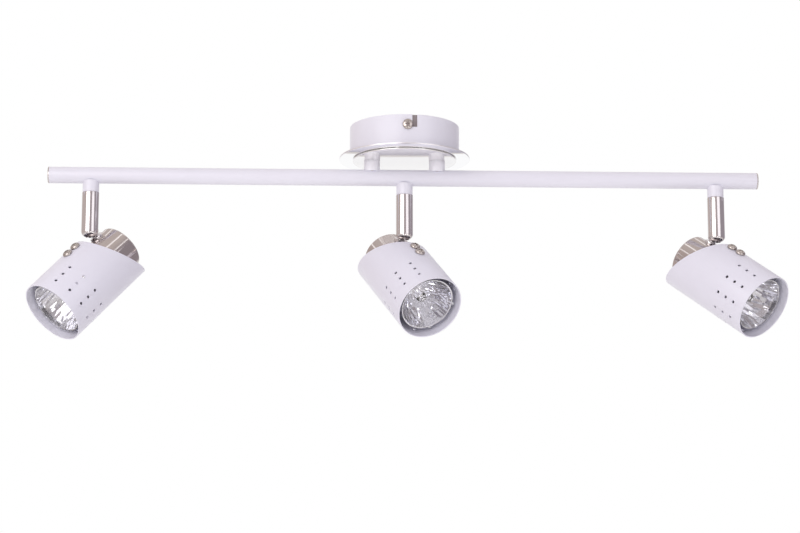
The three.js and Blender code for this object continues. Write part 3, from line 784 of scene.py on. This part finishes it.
def make_reflectors():
    """Pressed glass bowl, silvered in flat facets inside, on its two-pin base."""
    rim = GLASS_FRONT + GLASS_THICK + 0.1
    throat = CAPSULE_BACK + 0.3
    inside = bowl(LAMP_RADIUS - 1.2, THROAT_RADIUS, throat, rim, 9)
    outside = bowl(LAMP_RADIUS, LAMP_BASE, LAMP_BASE_FRONT, rim + 2.4, 10)[::-1]
    reflector = turned("reflector", [
        (0, throat), *inside, (LAMP_RADIUS - 0.2, rim), (LAMP_RADIUS, rim + 0.2), *outside,
        (LAMP_BASE, LAMP_BACK - 1), (LAMP_BASE - 1, LAMP_BACK), (0, LAMP_BACK)], FACET_COUNT)
    facet_rings = {round(height, 3): radius for radius, height in inside[1:-1]}
    chance = random.Random(5)
    for vertex in reflector.data.vertices:
        radius = vertex.co.xy.length / MM
        ring_radius = facet_rings.get(round(vertex.co.z / MM, 3))
        if ring_radius and abs(radius - ring_radius) < 0.01:
            growth = 1 + chance.uniform(-FACET_PLAY, FACET_PLAY) / radius
            vertex.co.x *= growth
            vertex.co.y *= growth
    pins = []
    for side in (-1, 1):
        pins.append(turned("pin", [
            (0, LAMP_BACK - 1), (PIN_SHANK, LAMP_BACK - 1), (PIN_SHANK, LAMP_BACK + 4.6),
            (PIN_HEAD, LAMP_BACK + 4.6), (PIN_HEAD, LAMP_BACK + 6), (PIN_HEAD - 0.25, LAMP_BACK + 6.2),
            (0, LAMP_BACK + 6.2)], 24))
        pins[-1].data.transform(shift(y=PIN_SPACING / 2 * side))
    cut(reflector, pins, "UNION")
    for face in reflector.data.polygons:
        facing_out = Vector((face.center.x, face.center.y, 0)).dot(face.normal) > 0
        face.use_smooth = facing_out
        face.material_index = 1 if facing_out else 0
    copies(reflector, "lamp_reflector", "head", REFLECTOR, second=REFLECTOR_BACK)


def make_lamp_fronts():
    glass = turned("lamp_glass", [
        (0, GLASS_FRONT), *arc(LAMP_RADIUS - 0.4, GLASS_FRONT + 0.4, 0.4, -90, 0, 4),
        (LAMP_RADIUS, GLASS_FRONT + GLASS_THICK), (0, GLASS_FRONT + GLASS_THICK)], 96)
    smooth(glass, 40)
    copies(glass, "lamp_glass", "head", GLASS)
    radius = CAPSULE_RADIUS
    capsule = turned("lamp_capsule", [
        *arc(0, CAPSULE_FRONT + radius, radius, -90, 0, 8), (radius, CAPSULE_BACK), (0, CAPSULE_BACK)], 48)
    smooth(capsule, 40)
    copies(capsule, "lamp_capsule", "head", GLASS)


# ---- what the CAD already shapes ---------------------------------------------------------------
def repaint_cad():
    repaint("ceiling_bracket", ZINC)
    repaint("terminal_block", PORCELAIN)
    repaint("wiring_harness", SLEEVE)
    for side in ("left", "right"):
        repaint(f"hollow_bolt_{side}", BRASS)
    for head in HEADS:
        repaint(f"ball_seat_{head}", NYLON)
        repaint(f"stem_lead_{head}", SLEEVE)
        repaint(f"head_lead_{head}", SLEEVE)
        repaint(f"lampholder_{head}", PORCELAIN)


MIRROR = mirror_disc("mirror_chrome", (0.95, 0.95, 0.96), (0.90, 0.89, 0.93), TRIM_RADIUS)

make_canopy()
make_disc("trim", TRIM_RADIUS, TRIM_LOW, TRIM_TOP, 0.4, MIRROR, "trim_disc")
make_disc("cover", COVER_RADIUS, COVER_LOW, COVER_TOP, 0.5, ENAMEL, "cover_disc")
make_bracket_screw(-1, "screw_front")
make_bracket_screw(1, "screw_rear")
for side, label in ((-1, "left"), (1, "right")):
    make_post(side, f"post_{label}")
    make_end_cap(side, f"end_cap_{label}")
make_bar()
make_ferrules()
make_stems()
make_knuckles()
make_cups()
make_shades()
make_clamps()
make_shade_screws()
make_reflectors()
make_lamp_fronts()
repaint_cad()


# ---- room, light and camera ----------------------------------------------------------------------
ROOM_LEFT = (0.62, 0.54, 0.51, 1)
ROOM_RIGHT = (0.38, 0.34, 0.37, 1)
CEILING = (0.72, 0.66, 0.63, 1)
CEILING_LAMPS = ((0.62, 0.02), (0.90, 0.015))


def make_floor():
    clear_selection()
    bpy.ops.mesh.primitive_plane_add(size=15, location=(0, 0, -2.4))
    floor = bpy.context.object
    floor.name = "floor"
    paint = Finish("floor_paint", roughness=0.8)
    cloud = paint.noise(3, 2.0)
    paint.set("Base Color", paint.mix(cloud, (0.84, 0.84, 0.83, 1), (0.88, 0.88, 0.87, 1)))
    floor.data.materials.append(paint.material)


def make_softbox(name, place, size, radiance, target=(0, 0, -0.1)):
    """A large soft panel that faces the fitting and stays out of the picture."""
    lamp = bpy.data.lights.new(name, "AREA")
    lamp.shape = "RECTANGLE"
    lamp.size, lamp.size_y = size
    lamp.energy = 4 * size[0] * size[1] * radiance
    item = bpy.data.objects.new(name, lamp)
    bpy.context.scene.collection.objects.link(item)
    item.location = place
    item.rotation_euler = (Vector(target) - Vector(place)).to_track_quat("-Z", "Y").to_euler()
    item.visible_camera = False


def make_world():
    """White behind and above; a dull room to the sides and in front, which the chrome mirrors."""
    world = bpy.data.worlds.new("studio")
    bpy.context.scene.world = world
    world.use_nodes = True
    nodes, links = world.node_tree.nodes, world.node_tree.links
    nodes.clear()

    def node(kind, inputs, **settings):
        made = nodes.new(kind)
        for key, value in settings.items():
            setattr(made, key, value)
        for key, value in inputs.items():
            if isinstance(value, bpy.types.NodeSocket):
                links.new(value, made.inputs[key])
            else:
                made.inputs[key].default_value = value
        return made.outputs

    def ramp(value, low, high):
        inputs = {"Value": value, "From Min": low, "From Max": high}
        return node("ShaderNodeMapRange", inputs, interpolation_type="SMOOTHSTEP")[0]

    def mix(factor, first, second):
        return node("ShaderNodeMix", {0: factor, 6: first, 7: second}, data_type="RGBA")[2]

    direction = node("ShaderNodeTexCoord", {})["Generated"]
    x, y, z = node("ShaderNodeSeparateXYZ", {0: direction})
    room = mix(ramp(x, -0.6, 0.6), ROOM_LEFT, ROOM_RIGHT)
    room = mix(ramp(y, 0.7, 0.93), room, (1, 1, 1, 1))
    room = mix(ramp(z, 0.45, 0.85), room, CEILING)
    for height, width in CEILING_LAMPS:
        strip = node("ShaderNodeMath", {0: z, 1: height, 2: width}, operation="COMPARE")[0]
        room = mix(strip, room, (1.6, 1.6, 1.6, 1))
    around = node("ShaderNodeBackground", {0: room, 1: 1.0})[0]
    behind = node("ShaderNodeBackground", {0: (1, 1, 1, 1), 1: 1.0})[0]
    seen = node("ShaderNodeLightPath", {})["Is Camera Ray"]
    node("ShaderNodeOutputWorld", {0: node("ShaderNodeMixShader", {0: seen, 1: around, 2: behind})[0]})


def make_camera():
    """Looks up at the fitting from a little below and left of its middle."""
    data = bpy.data.cameras.new("camera")
    camera = bpy.data.objects.new("camera", data)
    bpy.context.scene.collection.objects.link(camera)
    data.sensor_width = 36
    data.lens = 117
    data.clip_end = 100
    camera.location = (-0.0893, -2.3019, -0.6274)
    upward, rightward = math.radians(12.2), math.radians(2.12)
    camera.rotation_euler = (math.radians(90) + upward, 0, -rightward)
    bpy.context.scene.camera = camera


make_floor()
make_world()
make_softbox("left_softbox", (-1.45, -2.1, 0.35), (2.1, 1.9), 1.6)
make_softbox("right_softbox", (1.45, -2.0, 0.35), (1.5, 1.9), 0.75)
make_softbox("floor_wash", (0, 0, -1.3), (7.0, 7.0), 0.28, (0, 0, -2.4))
for x, y, z in ((-0.7, -2.2, -1.3), (0.55, -2.4, -1.1), (1.3, -1.5, -1.2)):
    make_softbox("low_strip", (x, y, z), (0.5, 0.25), 3.0)
make_camera()
bpy.context.scene.view_settings.view_transform = "Standard"

clear_selection()
